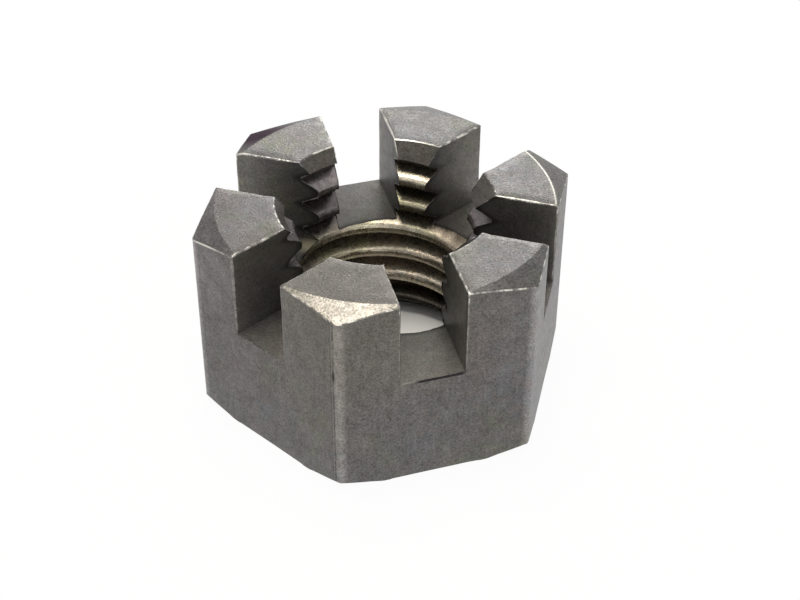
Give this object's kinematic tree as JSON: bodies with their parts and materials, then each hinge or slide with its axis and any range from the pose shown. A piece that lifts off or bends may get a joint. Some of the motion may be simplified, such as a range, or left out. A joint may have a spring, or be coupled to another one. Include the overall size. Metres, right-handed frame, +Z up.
{
  "type": "castle nut",
  "caption": "Hexagonal steel castle nut with a threaded bore and a slotted crown for a split pin.",
  "frame": {"origin": "centre of the bearing face, on the thread's axis", "axes": "+Z up the bore from the bearing face to the crown; +Y towards a corner of the hexagon; +X square to a flat"},
  "size_m": [0.019, 0.0218, 0.012],
  "materials": {
    "steel": "dull bare steel"
  },
  "bodies": {
    "root": {"castle_nut": "steel"}
  },
  "joints": []
}
